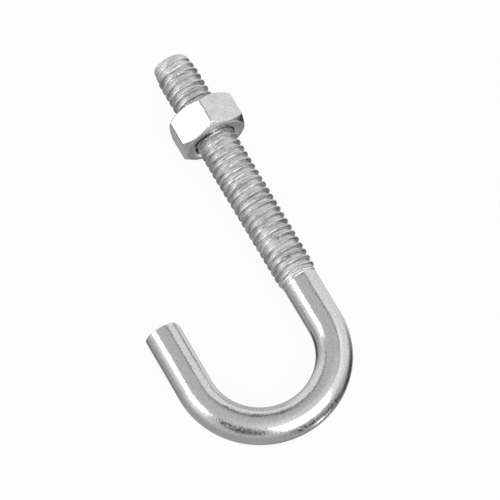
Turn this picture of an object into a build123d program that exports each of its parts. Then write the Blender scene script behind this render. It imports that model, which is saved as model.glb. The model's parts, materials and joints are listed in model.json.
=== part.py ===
from build123d import *
import math
import os

# J bolt: a steel rod bent into a hook, with a thread rolled on its straight end, and the hex nut
# that runs on that thread. Lengths are millimetres and angles are degrees.
#
# Each piece is drawn in the bolt's own frame and then laid down as the bolt rests on a table.
# Bolt frame: the shank's axis is X and points to the free end, the hook's leg is at +Y, the hook's
# plane is XY, and the shank leaves the bend at X = 0.

# Rod and hook
rod_diameter = 6.9
shank_length = 60.2  # straight, from the bend to the free end
hook_inner_radius = 10.1  # half the hook's opening
leg_length = 13.0  # straight, past the bend, on the leg's own axis
leg_end_roll = 1.1  # radius to which the shears roll over the end's side towards the shank

# Rolled thread, 5/16-18 UNC, right-hand. Its length is drawn plain, over the crests, which rolling
# lifts above the rod.
thread_diameter = 7.84  # over the crests
thread_length = 50.6  # from the free end, run-out included
run_out_length = 0.75  # where the first crest rises from the rod
lead_in_length = 3.2  # over which the last crests taper towards the free end
lead_in_diameter = 6.9  # over the crests, at the free end's chamfer
end_chamfer = 0.3  # at 45 degrees, on the free end

# Hex nut, 5/16 in, chamfered on both faces
nut_across_flats = 12.7
nut_thickness = 6.75
nut_face_diameter = 12.1  # flat ring left inside the chamfer
nut_chamfer_angle = 38.0
nut_clearance = 0.08  # between the thread's crests and the nut's bore, on the radius
countersink_depth = 0.4  # at 45 degrees, at both ends of the bore
nut_from_end = 11.4  # bare thread between the free end and the nut

# Sizes that follow from those above
rod_radius = rod_diameter / 2
bend_radius = hook_inner_radius + rod_radius
thread_radius = thread_diameter / 2
thread_start = shank_length - thread_length
nut_corner_radius = nut_across_flats / 2 / math.cos(math.radians(30))
nut_outer_end = shank_length - nut_from_end
nut_inner_end = nut_outer_end - nut_thickness


def turned(outline):
    """Solid of revolution about the shank's axis, from (x, radius) points that begin and end on it."""
    return revolve(make_face(Polyline(*outline, close=True)), Axis.X)


def threaded_length():
    """The thread's outer form: run-out, length over the crests, lead-in taper and end chamfer."""
    return turned(
        [
            (thread_start, 0),
            (thread_start, rod_radius),
            (thread_start + run_out_length, thread_radius),
            (shank_length - lead_in_length, thread_radius),
            (shank_length - end_chamfer, lead_in_diameter / 2),
            (shank_length, lead_in_diameter / 2 - end_chamfer),
            (shank_length, 0),
        ]
    )


def plain_shank_and_bend():
    """What is left of the rod between the thread and the leg: a short straight and the half turn."""
    section = Plane.YZ * Circle(rod_radius)
    bend_axis = Axis((0, bend_radius, 0), (0, 0, 1))
    return extrude(section, thread_start) + revolve(section, bend_axis, -180)


def leg():
    """The straight leg past the bend, its end rolled over on the side towards the shank."""
    uncut = extrude(Plane.YZ * Circle(rod_radius), leg_length)
    roll_centre = (leg_length - leg_end_roll, leg_end_roll - rod_radius)
    beyond = Rectangle(rod_diameter, rod_diameter, align=(Align.MIN, Align.MAX))
    corner = Pos(*roll_centre) * (beyond - Circle(leg_end_roll * 1.01))
    return Pos(0, 2 * bend_radius, 0) * (uncut - extrude(corner, rod_diameter, both=True))


def j_bolt():
    """The bent rod with its threaded length, in one solid."""
    return threaded_length() + plain_shank_and_bend() + leg()


def nut_blank():
    """Hexagon with one corner down, cut back at its corners by a cone on each face."""
    hexagon = RegularPolygon(nut_across_flats / 2, 6, major_radius=False, rotation=30)
    prism = extrude(Plane.YZ * hexagon, nut_thickness)
    face_radius = nut_face_diameter / 2
    reach = nut_corner_radius * 1.05  # a little past the corners
    chamfer_length = (reach - face_radius) * math.tan(math.radians(nut_chamfer_angle))
    envelope = turned(
        [
            (0, 0),
            (0, face_radius),
            (chamfer_length, reach),
            (nut_thickness - chamfer_length, reach),
            (nut_thickness, face_radius),
            (nut_thickness, 0),
        ]
    )
    return prism & envelope


def hex_nut():
    """The nut, bored to pass the crests and countersunk at both ends."""
    bore_radius = thread_radius + nut_clearance
    mouth_radius = bore_radius + countersink_depth
    bore = turned(
        [
            (0, 0),
            (0, mouth_radius),
            (countersink_depth, bore_radius),
            (nut_thickness - countersink_depth, bore_radius),
            (nut_thickness, mouth_radius),
            (nut_thickness, 0),
        ]
    )
    return Pos(nut_inner_end, 0, 0) * (nut_blank() - bore)


def resting_up(mass_centre):
    """Unit vector that points up, in the bolt frame, when the bolt lies on a table.

    It then touches with the lower corner of its nut and one point of its bend, and its centre of
    mass lies over the line between the two.
    """
    corner_cut = (nut_corner_radius - nut_face_diameter / 2) * math.tan(math.radians(nut_chamfer_angle))
    nut_touch = Vector(nut_inner_end + corner_cut, 0, -nut_corner_radius)
    bend_centre = Vector(0, bend_radius, 0)
    down_slope = Vector(-1, 0, 0)
    for _ in range(8):
        # how far the bend's lowest point lies from the nut's, down the slope
        reach = down_slope.dot(bend_centre - nut_touch) + bend_radius
        slope = math.atan2(nut_corner_radius, reach)
        slope -= math.asin(rod_radius / math.hypot(reach, nut_corner_radius))
        # the line from the nut's touch through the centre of mass, seen from above
        foot = Vector(nut_touch.X, nut_touch.Y, 0) + down_slope * (nut_touch.Z * math.tan(slope))
        sight = Vector(mass_centre.X - foot.X, mass_centre.Y - foot.Y, 0).normalized()
        to_centre = bend_centre - foot
        along = sight.dot(to_centre)
        beside = (to_centre - sight * along).length
        bend_touch = foot + sight * (along + math.sqrt(bend_radius**2 - beside**2))
        down_slope = (bend_touch - bend_centre).normalized()
    return Vector(0, 0, 1) * math.cos(slope) - down_slope * math.sin(slope)


def laid_down(pieces):
    """Location that lays the bolt frame on a table at Z = 0, centred on the origin, shank along X."""
    whole = Compound(children=list(pieces))
    up = resting_up(whole.center(CenterOf.MASS))
    shank = Vector(1, 0, 0)
    level_shank = (shank - up * shank.dot(up)).normalized()
    turn = Plane(origin=(0, 0, 0), x_dir=level_shank, z_dir=up).location.inverse()
    box = whole.moved(turn).bounding_box()
    return Pos(-box.center().X, -box.center().Y, -box.min.Z) * turn


drawn = {"j_bolt": j_bolt().solid(), "hex_nut": hex_nut().solid()}
rest = laid_down([Solid(piece.wrapped) for piece in drawn.values()])
os.makedirs("parts", exist_ok=True)
for name, piece in drawn.items():
    export_step(piece.moved(rest), f"parts/{name}.step")
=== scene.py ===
# A 5/16 in J bolt with its hex nut, lying on a pale table: a hook for holding a plate or a post down.
# Lengths in the pieces' sections are millimetres in the bolt's own frame; the meshes are in metres.
import json

import bpy
import numpy as np
from mathutils import Matrix, Vector


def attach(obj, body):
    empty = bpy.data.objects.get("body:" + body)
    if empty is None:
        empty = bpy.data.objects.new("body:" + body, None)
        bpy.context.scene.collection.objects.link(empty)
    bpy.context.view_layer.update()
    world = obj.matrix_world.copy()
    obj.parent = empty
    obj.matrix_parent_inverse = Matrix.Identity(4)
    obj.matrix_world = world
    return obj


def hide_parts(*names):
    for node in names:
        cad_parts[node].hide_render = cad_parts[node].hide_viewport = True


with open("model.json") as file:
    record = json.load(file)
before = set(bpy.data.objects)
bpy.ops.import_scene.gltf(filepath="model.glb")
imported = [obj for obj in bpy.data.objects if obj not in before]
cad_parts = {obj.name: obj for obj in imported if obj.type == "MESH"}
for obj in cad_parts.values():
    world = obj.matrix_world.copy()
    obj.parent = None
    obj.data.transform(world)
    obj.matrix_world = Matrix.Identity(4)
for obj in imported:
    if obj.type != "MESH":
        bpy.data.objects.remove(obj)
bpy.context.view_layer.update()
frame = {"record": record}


# ---- J bolt ----
# A mild steel rod, cropped to length, with a 5/16-18 thread rolled on its straight end. It was bent
# cold round a former into a half-round hook, and then barrel-plated with bright zinc.

# The bolt's frame: the shank's axis is X towards the free end, the hook's leg lies at +Y, and X = 0 is
# where the shank goes into the bend.
mounts = {mount["name"]: mount for mount in frame["record"]["mounts"]}
shank_axis = np.array(mounts["thread"]["axis"])
hook_axis = np.array(mounts["hook"]["axis"])
leg_side = np.cross(hook_axis, shank_axis)
bend_radius = 13.55
bend_centre = np.array(mounts["hook"]["pos_m"]) * 1000
bend_start = bend_centre - leg_side * bend_radius
shank_length = (np.array(mounts["thread"]["pos_m"]) * 1000 - bend_start) @ shank_axis

rod_radius = 3.45
leg_length = 13.0
leg_end_roll = 1.1  # the shears roll over the inner side of the leg's end
rim_radius = 0.12  # the leg's end is barely rounded
columns = 88  # points round the rod

# The rolled thread. Its run-out is given as distances past the run-out's own start.
pitch = 25.4 / 18
thread_radius = 3.92  # over the crests
thread_length = 50.6  # from the free end, with the run-out
thread_depth = 0.74
crest_half_width = 0.16
crest_rounding, root_rounding = 0.16, 0.14
seam_depth = 0.05
seam_half_width = 0.05
shoulder = shank_length - thread_length
run_out_lead, run_out_waver = 0.4, 0.25  # it starts ahead of the shoulder, and earlier on one side
crest_start, crest_rise = 0.3, 1.9
groove_start, groove_rise = 0.6, 2.0
ripple_height, ripple_length = 0.045, 0.55
ripple_rise, ripple_end, ripple_fall = 0.4, 2.3, 0.9

# The free end: a taper that the crests stay under, a rounded edge and a dished face.
taper_radius = 3.4
taper_slope = 0.162
taper_blend = 0.1
end_edge = 0.3
dish_depth = 0.15


def smooth_step(value):
    """0 below 0, 1 above 1, and three times the square less twice the cube between."""
    value = np.clip(value, 0, 1)
    return value * value * (3 - 2 * value)


def soft_least(first, second, blend):
    """The lesser of two lengths, rounded over a length blend where they cross."""
    gap = np.clip(0.5 + (second - first) / (2 * blend), 0, 1)
    return second + (first - second) * gap - blend * gap * (1 - gap)


def rolled_profile(turns):
    """Depth below the crest, in millimetres, at a number of turns along the thread.

    The flanks fall 1.73 times as fast as they run, to a rounded root. The rolls leave a seam along
    the middle of the crest, where the metal pushed up from both sides didn't quite meet.
    """
    across = np.abs((turns % 1) - 0.5) * pitch  # from the middle of the crest
    flank = (across - crest_half_width) * np.sqrt(3)
    flank = -soft_least(-flank, 0 * flank, crest_rounding)
    root = soft_least(flank, thread_depth + 0 * flank, root_rounding)
    return root + seam_depth * np.exp(-((across / seam_half_width) ** 2))


def rod_outline(along, angle):
    """Radius of the straight shank at a distance along it and an angle round it.

    In the run-out the crests rise from the rod and the groove deepens, each by a smooth step, and
    a cosine ripple that fades in and out lies over them. The groove turns right-handed. Near the
    free end the radius is held under a straight taper.
    """
    from_end = shank_length - along
    started = along - shoulder + run_out_lead + run_out_waver * np.cos(angle)
    risen = smooth_step((started - crest_start) / crest_rise)
    crest = rod_radius + (thread_radius - rod_radius) * risen
    depth = rolled_profile(along / pitch - angle / (2 * np.pi))
    depth = depth * smooth_step((started - groove_start) / groove_rise)
    ripple = ripple_height * np.cos(2 * np.pi * started / ripple_length)
    ripple = ripple * smooth_step(started / ripple_rise)
    ripple = ripple * smooth_step((ripple_end - started) / ripple_fall)
    crest = crest + ripple
    taper = taper_radius + taper_slope * from_end
    return soft_least(crest - depth, taper, taper_blend)


def carried_along_rod(station, angle, radius):
    """Points of a ring round the rod's middle line, in the bolt's frame.

    station runs from the leg's end, -(leg + half turn), through 0 where the shank starts, to the
    free end. The ring's own axes are the way to the hook's inside and the hook's axis.
    """
    half_turn = np.pi * bend_radius
    turned = np.clip(-station, 0, half_turn) / bend_radius
    straight = np.maximum(station, 0)
    past = np.maximum(-station - half_turn, 0)
    inward = radius * np.cos(angle)
    reach = bend_radius - inward
    x = straight + past - reach * np.sin(turned)
    y = bend_radius - reach * np.cos(turned)
    z = radius * np.sin(angle) + 0 * x
    return np.stack([x, y, z], axis=-1)


def in_frame(points):
    """Points of the bolt's frame, in millimetres, in the part's frame, in metres."""
    return (bend_start + points @ np.array([shank_axis, leg_side, hook_axis])) / 1000


def skin(name, rings, ends):
    """A mesh of quads between neighbouring rings, each ring joined to itself.

    With ends, the first and last ring are each closed by a fan to their middle. Without, the last
    ring is joined to the first.
    """
    rows, around = rings.shape[:2]
    points = rings.reshape(-1, 3)
    row = np.arange(rows - 1 if ends else rows)[:, None]
    column = np.arange(around)[None, :]
    next_row, next_column = (row + 1) % rows, (column + 1) % around
    corners = [row * around + column, row * around + next_column]
    corners += [next_row * around + next_column, next_row * around + column]
    faces = np.stack(corners, axis=-1).reshape(-1, 4).tolist()
    if ends:
        points = np.vstack([points, rings[0].mean(axis=0), rings[-1].mean(axis=0)])
        first, last = np.arange(around), (rows - 1) * around + np.arange(around)
        middle = rows * around
        faces += np.stack([np.roll(first, -1), first, first * 0 + middle], axis=-1).tolist()
        faces += np.stack([last, np.roll(last, -1), last * 0 + middle + 1], axis=-1).tolist()
    mesh = bpy.data.meshes.new(name)
    mesh.from_pydata(in_frame(points).tolist(), [], faces)
    mesh.shade_smooth()
    piece = bpy.data.objects.new(name, mesh)
    bpy.context.scene.collection.objects.link(piece)
    return piece


angle = np.linspace(0, 2 * np.pi, columns, endpoint=False)[None, :]

# The leg's end: rings of its face from the middle out, then round the rim. The face is square, and
# bends back towards the inner side by a quarter circle, which stops just short of lying along the rod.
short_of_quarter = 0.98
half_turn = np.pi * bend_radius
face_radius = (rod_radius - rim_radius) * np.linspace(0.04, 1, 15)[:, None]
rim = np.linspace(0, np.pi / 2, 6)[1:, None]
end_radius = np.concatenate([face_radius, rod_radius - rim_radius * (1 - np.sin(rim))])
end_back = np.concatenate([0 * face_radius, rim_radius * (1 - np.cos(rim))])
inner_side = end_radius * np.cos(angle)
into_roll = np.clip(inner_side - (rod_radius - leg_end_roll), 0, leg_end_roll)
roll_back = leg_end_roll - np.sqrt(leg_end_roll**2 - into_roll**2 * short_of_quarter)
leg_end = -half_turn - leg_length
end_rings = carried_along_rod(leg_end + end_back + roll_back, angle, end_radius)

# The leg and the bend, a plain rod. The rings next to the rolled end lean with it.
lean_length = 3
plain_station = np.linspace(leg_end, 0, 170)[1:, None]
lean = np.clip(1 - (plain_station - leg_end) / lean_length, 0, 1)
plain_station = plain_station + rim_radius * lean + roll_back[-1:] * lean
plain_rings = carried_along_rod(plain_station, angle, rod_radius + 0 * angle)

# The shank, and its free end: the edge of the last crest, and a face left slightly dished by the rolls.
rings_a_turn = 22
bare_end = shoulder - 0.2
thread_end = shank_length - end_edge
bare = np.linspace(0, bare_end, 24)[1:]
threaded = np.linspace(bare_end, thread_end, rings_a_turn * 36)[1:]
shank_station = np.concatenate([bare, threaded])[:, None]
shank_radius = rod_outline(shank_station, angle)
shank_rings = carried_along_rod(shank_station, angle, shank_radius)
tip_radius = rod_outline(np.array([[thread_end]]), angle)
tip_turn = np.linspace(0, np.pi / 2, 7)[1:, None]
tip_station = thread_end + end_edge * np.sin(tip_turn)
tip_rings = carried_along_rod(tip_station, angle, tip_radius - end_edge * (1 - np.cos(tip_turn)))
dish_share = np.linspace(1, 0.04, 12)[1:, None]
dish_station = shank_length - dish_depth * (1 - dish_share**2) + 0 * angle
dish_rings = carried_along_rod(dish_station, angle, (tip_radius - end_edge) * dish_share)
all_rings = np.concatenate([end_rings, plain_rings, shank_rings, tip_rings, dish_rings])
bolt = skin("bolt_bent_and_threaded_rod", all_rings, ends=True)


class Shade:
    """A socket's value in a material, which Python's operators turn into Math nodes."""

    def __init__(self, tree, socket):
        self.tree, self.socket = tree, socket

    def node(self, kind, settings=(), output=0, **values):
        """Adds a node of a type, with its settings first and then its sockets' values or links.

        A socket is named in words, or by s and its number where several share a name.
        """
        made = self.tree.nodes.new(kind)
        for name, value in dict(settings).items():
            setattr(made, name, value)
        for name, value in values.items():
            key = int(name[1:]) if name[1:].isdigit() else name.replace("_", " ")
            if isinstance(value, Shade):
                self.tree.links.new(value.socket, made.inputs[key])
            else:
                made.inputs[key].default_value = value
        return Shade(self.tree, made.outputs[output])

    def maths(self, operation, first, second):
        return self.node("ShaderNodeMath", {"operation": operation}, s0=first, s1=second)

    def __add__(self, other):
        return self.maths("ADD", self, other)

    def __sub__(self, other):
        return self.maths("SUBTRACT", self, other)

    def __mul__(self, other):
        return self.maths("MULTIPLY", self, other)

    def __rsub__(self, other):
        return self.maths("SUBTRACT", other, self)

    __radd__, __rmul__ = __add__, __mul__

    def between(self, low, high):
        """0 below low, 1 above high and a smooth step between."""
        return self.node(
            "ShaderNodeMapRange",
            {"interpolation_type": "SMOOTHSTEP"},
            Value=self,
            From_Min=low,
            From_Max=high,
        )


def new_material(name):
    """A material with one Principled shader, its tree, and its Object coordinates as a Shade."""
    material = bpy.data.materials.new(name)
    material.use_nodes = True
    shader = material.node_tree.nodes["Principled BSDF"]
    start = Shade(material.node_tree, None)
    place = start.node("ShaderNodeTexCoord", output="Object")
    return material, shader, place


def noise(place, size, detail=2.0, roughness=0.5):
    """A cloud of values about 0.5, with patches of a size in millimetres."""
    return place.node(
        "ShaderNodeTexNoise", Vector=place, Scale=1000 / size, Detail=detail, Roughness=roughness
    )


def stored(place, name):
    """A value that the mesh holds at each of its points."""
    return place.node("ShaderNodeAttribute", {"attribute_name": name}, output="Fac")


pale_zinc = (0.86, 0.86, 0.862, 1)
dark_zinc = (0.02, 0.02, 0.02, 1)


def lay_zinc(material, shader, tone, roughness, height):
    """Zinc plate from its tone, 0 for dark and 1 for pale, its roughness, and its height in mm."""
    shader.inputs["Metallic"].default_value = 1.0
    colour = tone.node(
        "ShaderNodeMix", {"data_type": "RGBA"}, output=2, s0=tone, s6=dark_zinc, s7=pale_zinc
    )
    bump = tone.node("ShaderNodeBump", Strength=1.0, Distance=0.001, Height=height)
    material.node_tree.links.new(colour.socket, shader.inputs["Base Color"])
    material.node_tree.links.new(roughness.socket, shader.inputs["Roughness"])
    material.node_tree.links.new(bump.socket, shader.inputs["Normal"])


material, shader, place = new_material("bright_zinc_on_rod")
threaded = stored(place, "threaded")
groove = stored(place, "groove")
# Painted shade: how much a thread flank faces the hook, which darkens its tone.
painted_shade_on_hook_flank = stored(place, "painted_shade_on_hook_flank")
# Wear, and the painted dark reflection inside the bend, as the mesh holds them.
wear_and_painted_line = stored(place, "wear_and_painted_line")
cloud = noise(place, 0.9, 3.0, 0.6)
grain = noise(place, 0.34).between(0.25, 0.75)
spread = noise(place, 8.0)

# The rolls leave fine streaks round the thread: a noise squeezed along the shank.
axis = tuple(shank_axis)
streak_squeeze = 21.0
along = place.node(
    "ShaderNodeVectorMath", {"operation": "DOT_PRODUCT"}, output="Value", s0=place, s1=axis
)
squeeze = place.node(
    "ShaderNodeVectorMath", {"operation": "SCALE"}, s0=axis, Scale=along * streak_squeeze
)
streak_place = place.node("ShaderNodeVectorMath", {"operation": "ADD"}, s0=place, s1=squeeze)
streak = noise(streak_place, 5.0, 4.0, 0.75).between(0.42, 0.58)

# Tone, roughness and height of the smooth rod, and of the thread where the mesh says it is threaded.
# The flanks that face the hook are darker, as painted shade, and the specks of wear and of the painted
# dark reflection in the bend are duller.
specks = wear_and_painted_line * noise(place, 0.45, 4.0, 0.7).between(0.44, 0.58)
smooth_tone = 0.94 - 0.2 * grain - 0.8 * specks
# The grooves are painted paler, a painted light that lifts the shade in them.
thread_tone = 1.24 - 0.52 * streak - 0.2 * grain + 0.25 * groove
thread_tone = thread_tone - 0.3 * painted_shade_on_hook_flank - 0.9 * specks
tone = smooth_tone + threaded * (thread_tone - smooth_tone)
roughness = 0.13 + 0.07 * spread.between(0.35, 0.7) + 0.05 * cloud + 0.2 * specks
roughness = roughness + threaded * (0.13 + 0.2 * groove)
smooth_height = 0.015 * cloud + 0.007 * grain
height = smooth_height + threaded * (0.012 * streak + 0.012 * grain - smooth_height)
lay_zinc(material, shader, tone, roughness, height)
bolt.data.materials.append(material)

# What the mesh holds for the material: how far a point is on the thread, how deep in the groove, and
# how much its flank faces the hook, which sets its painted shade. The rounded edge of the free end is
# counted partly as thread.
finish_changes_over = 0.5
thread_share = smooth_step((shank_station - shoulder) / finish_changes_over)
shank_from = len(end_rings) + len(plain_rings)
tip_from = shank_from + len(shank_rings)
dish_from = tip_from + len(tip_rings)
on_thread = np.zeros(all_rings.shape[:2])
on_thread[shank_from:tip_from] = thread_share
tip_share = 0.6
on_thread[tip_from:dish_from] = tip_share
in_groove = np.zeros(all_rings.shape[:2])
depth_share = np.clip((thread_radius - shank_radius) / thread_depth, 0, 1)
in_groove[shank_from:tip_from] = depth_share * thread_share
nudge, steep = 0.02, 0.5
rise = rod_outline(shank_station + nudge, angle) - rod_outline(shank_station - nudge, angle)
# The share of painted shade on the flanks that face the hook.
faces_hook = np.zeros(all_rings.shape[:2])
faces_hook[shank_from:tip_from] = smooth_step(rise / (2 * nudge) / steep) * thread_share

# Scuffs where the former gripped the bend, a thin dark line inside the bend that is a painted
# reflection, speckled like the scuffs, and a few nicks in the crests of the thread: ovals, each with
# its place along the rod and round it in degrees, and its half length and half width.
scuffs_by_former = [(-31, 126, 3.0, 0.75), (-34, 122, 2.2, 0.55), (-28, 130, 1.6, 0.5)]
scuffs_by_former += [(-21, 151, 3.0, 0.75), (-16, 157, 3.2, 0.95), (-11.5, 162, 2.2, 0.7)]
# A painted reflection: a thin line of dark specks along the inside of the bend.
painted_dark_line_in_bend = [(-24, 75, 2.6, 0.35), (-29, 74, 3.2, 0.42), (-34, 73, 2.4, 0.35)]
nick_size = 0.5
nick_places = [(13.7, 89), (17.9, 89), (26.8, 88), (38.4, 87)]
nicks = [(station, turn, nick_size, nick_size) for station, turn in nick_places]
leg_station = leg_end + end_back + roll_back
station_of = np.concatenate([leg_station, plain_station, shank_station + 0 * angle])
wear_and_painted_line_share = np.zeros(all_rings.shape[:2])
for station, turn, half_length, half_width in scuffs_by_former + painted_dark_line_in_bend + nicks:
    out_along = (station_of - station) / half_length
    out_across = (angle - np.radians(turn)) * rod_radius / half_width
    oval = 1 - smooth_step(np.hypot(out_along, out_across) - 0.3)
    wear_and_painted_line_share[:tip_from] = np.maximum(wear_and_painted_line_share[:tip_from], oval)


def store_values(piece, name, values):
    """Puts a value on each point of a piece's mesh, under a name that its material reads."""
    store = piece.data.attributes.new(name, "FLOAT", "POINT")
    store.data.foreach_set("value", values)


middles_of_ends = [0.0, 0.0]
store_values(bolt, "threaded", np.append(on_thread.ravel(), middles_of_ends))
store_values(bolt, "groove", np.append(in_groove.ravel(), middles_of_ends))
store_values(bolt, "painted_shade_on_hook_flank", np.append(faces_hook.ravel(), middles_of_ends))
store_values(bolt, "wear_and_painted_line", np.append(wear_and_painted_line_share.ravel(), middles_of_ends))
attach(bolt, "bolt")
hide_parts("j_bolt")


# ---- Hex nut ----
# Cold-formed from the same steel, chamfered on both faces, tapped through with a countersink at each
# end, and zinc plated. It runs on the bolt's thread.
across_flats = 12.7
nut_thickness = 6.75
nut_start = (np.array(mounts["nut_face"]["pos_m"]) * 1000 - bend_start) @ shank_axis
face_ring_radius = 6.05
chamfer_slope = np.tan(np.radians(38))
mouth_radius = 4.32
bore_radius = 3.34  # over the crests of the inner thread
thread_gap = 0.05  # between the bolt's crests and the roots of the inner thread
corner_blend, countersink_blend = 0.14, 0.05
face_edge, side_edge = 0.13, 0.09  # the edges of the faces and of the chamfers are barely rounded
nut_columns = 240


def hexagon_radius(angle):
    """Distance from the axis to the hexagon's side: half the flats over the cosine from its middle.

    Where two sides cross, the lesser is taken, rounded over a short length as a formed edge is. A
    side that faces away is put out of reach.
    """
    faces_away, out_of_reach = 0.3, 99
    sides = np.radians(np.arange(0, 360, 60))[:, None]
    across = np.cos(angle - sides)
    reach = across_flats / 2 / np.maximum(across, faces_away)
    reach = np.where(across > faces_away, reach, out_of_reach)
    reach = np.sort(reach, axis=0)
    return soft_least(reach[0], reach[1], corner_blend)


def rounded(corners, radii, steps):
    """Replaces each corner of a line but its ends by a quadratic curve.

    The curve runs between two points on the corner's sides, a radius away from it. The line is an
    array of (corners, columns, 2).
    """
    rows = [corners[:1]]
    for radius, before, corner, after in zip(radii, corners[:-2], corners[1:-1], corners[2:]):
        back, ahead = before - corner, after - corner
        start = corner + back * np.minimum(radius / np.linalg.norm(back, axis=-1), 0.45)[:, None]
        stop = corner + ahead * np.minimum(radius / np.linalg.norm(ahead, axis=-1), 0.45)[:, None]
        t = np.linspace(0, 1, steps)[:, None, None]
        rows.append(start * (1 - t) ** 2 + corner * 2 * t * (1 - t) + stop * t**2)
    rows.append(corners[-1:])
    return np.concatenate(rows)


nut_angle = np.linspace(0, 2 * np.pi, nut_columns, endpoint=False)
hexagon_reach = hexagon_radius(nut_angle)
cut_back = (hexagon_reach - face_ring_radius) * chamfer_slope

# Half of a cut through the nut, for each angle: its near face, chamfer, side, chamfer and far face,
# as distances along the axis and from it, and then its bore from one face to the other.
near_face = 0 * hexagon_reach
far_face = near_face + nut_thickness
mouth = near_face + mouth_radius
face_ring = near_face + face_ring_radius
cut_along = np.stack(
    [near_face, near_face, cut_back, nut_thickness - cut_back, far_face, far_face]
)
cut_out = np.stack([mouth, face_ring, hexagon_reach, hexagon_reach, face_ring, mouth])
edges = (face_edge, side_edge, side_edge, face_edge)
outside = rounded(np.stack([cut_along, cut_out], axis=-1), edges, 6)[::-1]

inside_along = np.linspace(0, nut_thickness, 110)[1:-1, None]
inner_thread = rolled_profile((nut_start + inside_along) / pitch - nut_angle / (2 * np.pi))
root_radius = thread_radius + thread_gap
inside_radius = root_radius - np.minimum(inner_thread, root_radius - bore_radius)
from_face = np.minimum(inside_along, nut_thickness - inside_along)
countersink = mouth_radius - from_face
inside_radius = -soft_least(-inside_radius, -countersink, countersink_blend)
inside = np.stack([inside_along + 0 * inside_radius, inside_radius], axis=-1)
nut_profile = np.concatenate([outside, inside])
nut_along, nut_radius = nut_profile[..., 0], nut_profile[..., 1]
nut_rings = np.stack(
    [nut_start + nut_along, nut_radius * np.cos(nut_angle), nut_radius * np.sin(nut_angle)], axis=-1
)
nut = skin("nut_tapped_hexagon", nut_rings[::-1], ends=False)

material, shader, place = new_material("bright_zinc_on_nut")
cloud = noise(place, 1.1, 3.0, 0.6)
grain = noise(place, 0.36).between(0.25, 0.75)
mottle = noise(place, 2.2, 3.0, 0.6).between(0.4, 0.68)
# Painted shade in the bore, which darkens its tone.
painted_bore_shade = stored(place, "painted_bore_shade")
tone = 0.98 - 0.2 * grain - 0.12 * mottle - 0.7 * painted_bore_shade
roughness = 0.12 + 0.08 * cloud
lay_zinc(material, shader, tone, roughness, 0.012 * cloud + 0.012 * grain)
nut.data.materials.append(material)

# Painted shade: the bore is darkened from just inside the faces, as the deep gap round the thread is in
# shade.
in_bore = smooth_step((from_face + 0.05) / 0.4)
in_bore = np.concatenate([np.zeros((len(outside), 1)), in_bore])
store_values(nut, "painted_bore_shade", (in_bore[::-1] + 0 * nut_angle).ravel())
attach(nut, "nut")
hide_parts("hex_nut")


# ---- Table ----
# A plain pale board that the bolt lies on. The camera sees it nearly white, with the bolt's soft
# shadow, and a mirrored ray passes through it, so that the metal shows the room below as well.
half = 3  # metres from its middle to each side
board_corners = [(-half, -half, 0), (half, -half, 0), (half, half, 0), (-half, half, 0)]
mesh = bpy.data.meshes.new("table_top")
mesh.from_pydata(board_corners, [], [(0, 1, 2, 3)])
table = bpy.data.objects.new("table_top", mesh)
bpy.context.scene.collection.objects.link(table)
material = bpy.data.materials.new("white_board")
material.use_nodes = True
tree = material.node_tree
board = tree.nodes["Principled BSDF"]
board.inputs["Base Color"].default_value = (0.8, 0.8, 0.8, 1)
board.inputs["Roughness"].default_value = 1.0
board.inputs["Specular IOR Level"].default_value = 0.0
board_shade = Shade(tree, board.outputs[0])
glow_share = 0.93  # the rest is the board itself, which holds the shadow
camera_ray = board_shade.node("ShaderNodeLightPath", output="Is Camera Ray")
mirrored_ray = board_shade.node("ShaderNodeLightPath", output="Is Glossy Ray")
glow = board_shade.node("ShaderNodeEmission", Color=(1, 1, 1, 1), Strength=1.0)
clear = board_shade.node("ShaderNodeBsdfTransparent")
lit = board_shade.node(
    "ShaderNodeMixShader", s0=camera_ray * glow_share, s1=board_shade, s2=glow
)
surface = board_shade.node("ShaderNodeMixShader", s0=mirrored_ray, s1=lit, s2=clear)
tree.links.new(surface.socket, tree.nodes["Material Output"].inputs["Surface"])
mesh.materials.append(material)


# ---- Studio light ----
# A pale grey room with paler and darker screens, which put the bands on the metal, and two soft boxes.
# The camera sees the room white.
world = bpy.data.worlds.new("white_room")
bpy.context.scene.world = world
world.use_nodes = True
sky = world.node_tree
room = Shade(sky, None)
direction = room.node("ShaderNodeTexCoord", output="Generated")


def towards(azimuth, elevation):
    """Unit vector from the part towards a place in the room."""
    a, e = np.radians([azimuth, elevation])
    return np.array([np.sin(a) * np.cos(e), -np.cos(a) * np.cos(e), np.sin(e)])


def patch(azimuth, elevation, inner, outer):
    """1 within an angle of a direction, falling to 0 at a wider one."""
    aim = tuple(towards(azimuth, elevation))
    near = direction.node(
        "ShaderNodeVectorMath", {"operation": "DOT_PRODUCT"}, output="Value", s0=direction, s1=aim
    )
    return near.between(float(np.cos(np.radians(outer))), float(np.cos(np.radians(inner))))


# The far side has pale walls below the ceiling, with a dark edge between the two.
wall_light, edge_dark = 0.3, 0.46
room_light = 0.58 - 0.16 * patch(0, -90, 70, 92)
far_side = patch(50, 15, 62, 82)
room_light = room_light + far_side * (wall_light - wall_light * patch(150, 82, 48.5, 51))
dark_edge = edge_dark * patch(150, 82, 48.5, 50.5) - edge_dark * patch(150, 82, 40.5, 45)
room_light = room_light - far_side * dark_edge

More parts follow.
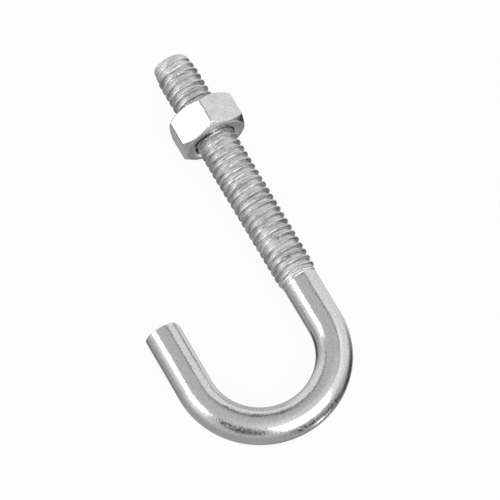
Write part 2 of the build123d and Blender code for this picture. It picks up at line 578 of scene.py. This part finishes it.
# Each screen: how much light it adds, its azimuth and elevation, and the angles where it is whole and
# where it ends.
pale_screens = [
    (0.2, -111, 64, 5, 22),
    (0.3, -40, 34, 8, 30),
    (0.2, -45, 66, 5, 27),
    (0.25, 3, 43, 4, 15),
    (0.35, 176, 18, 6, 24),
    (0.4, 146, 17, 3, 13),
    (0.75, 155, 38, 5, 11),
    (2.0, -58, -44, 3, 9),
    (0.15, 25, -28, 4, 16),
]
dark_screens = [
    (-0.15, 65, 47, 3, 25),
    (-0.42, -134, 25, 3, 21),
    (-0.2, 68, -38, 14, 32),
    (-0.14, -45, -77, 5, 22),
    (-0.5, -8, -36, 6, 28),
    (-0.14, -40, -44, 3, 15),
    (-0.1, -55, -20, 4, 24),
    (-0.35, 128, -41, 6, 21),
]
for light, azimuth, elevation, inner, outer in pale_screens + dark_screens:
    room_light = room_light + light * patch(azimuth, elevation, inner, outer)
least_light = 0.06
room_light = room_light.maths("MAXIMUM", room_light, least_light)
to_camera = room.node("ShaderNodeLightPath", output="Is Camera Ray")
strength = to_camera + (1 - to_camera) * room_light
background = sky.nodes["Background"]
background.inputs["Color"].default_value = (1, 1, 1, 1)
sky.links.new(strength.socket, background.inputs["Strength"])


def soft_box(name, azimuth, elevation, distance, width, height, power):
    """An oblong lamp that faces the part from a direction, and that the camera doesn't see."""
    lamp = bpy.data.lights.new(name, "AREA")
    lamp.shape, lamp.size, lamp.size_y, lamp.energy = "RECTANGLE", width, height, power
    box = bpy.data.objects.new(name, lamp)
    way = Vector(towards(azimuth, elevation))
    box.location = way * distance
    box.rotation_euler = way.to_track_quat("Z", "Y").to_euler()
    box.visible_camera = False
    bpy.context.scene.collection.objects.link(box)


soft_box("soft_box_hook_side", -77.0, 33.0, 0.6, 0.48, 0.42, 1.6)
soft_box("soft_box_leg_side", 168.0, 38.5, 0.6, 0.33, 0.2, 0.75)


# ---- Camera ----
# A long lens, above the hook's end and beside the leg, turned so that the hook hangs down.
focal_length, sensor_width = 298.1, 36
camera_azimuth, camera_elevation, camera_roll = -111.027, 64.42, -8.437
camera_distance = 0.7706
looked_at = np.array([-1.469, -7.325, 4.0]) / 1000
lens = bpy.data.cameras.new("long_lens")
lens.lens, lens.sensor_width = focal_length, sensor_width
lens.clip_start, lens.clip_end = 0.05, 10
camera = bpy.data.objects.new("camera", lens)
back = towards(camera_azimuth, camera_elevation)
turn, roll = np.radians([camera_azimuth, camera_roll])
level_right = np.array([np.cos(turn), np.sin(turn), 0])
level_up = np.cross(back, level_right)
right = level_right * np.cos(roll) + level_up * np.sin(roll)
up = np.cross(back, right)
stand = Matrix([[*row, 0] for row in np.stack([right, up, back], axis=1)] + [[0, 0, 0, 1]])
stand.translation = Vector(looked_at + back * camera_distance)
camera.matrix_world = stand
bpy.context.scene.collection.objects.link(camera)
bpy.context.scene.camera = camera
bpy.context.scene.view_settings.view_transform = "Standard"

bpy.context.view_layer.update()
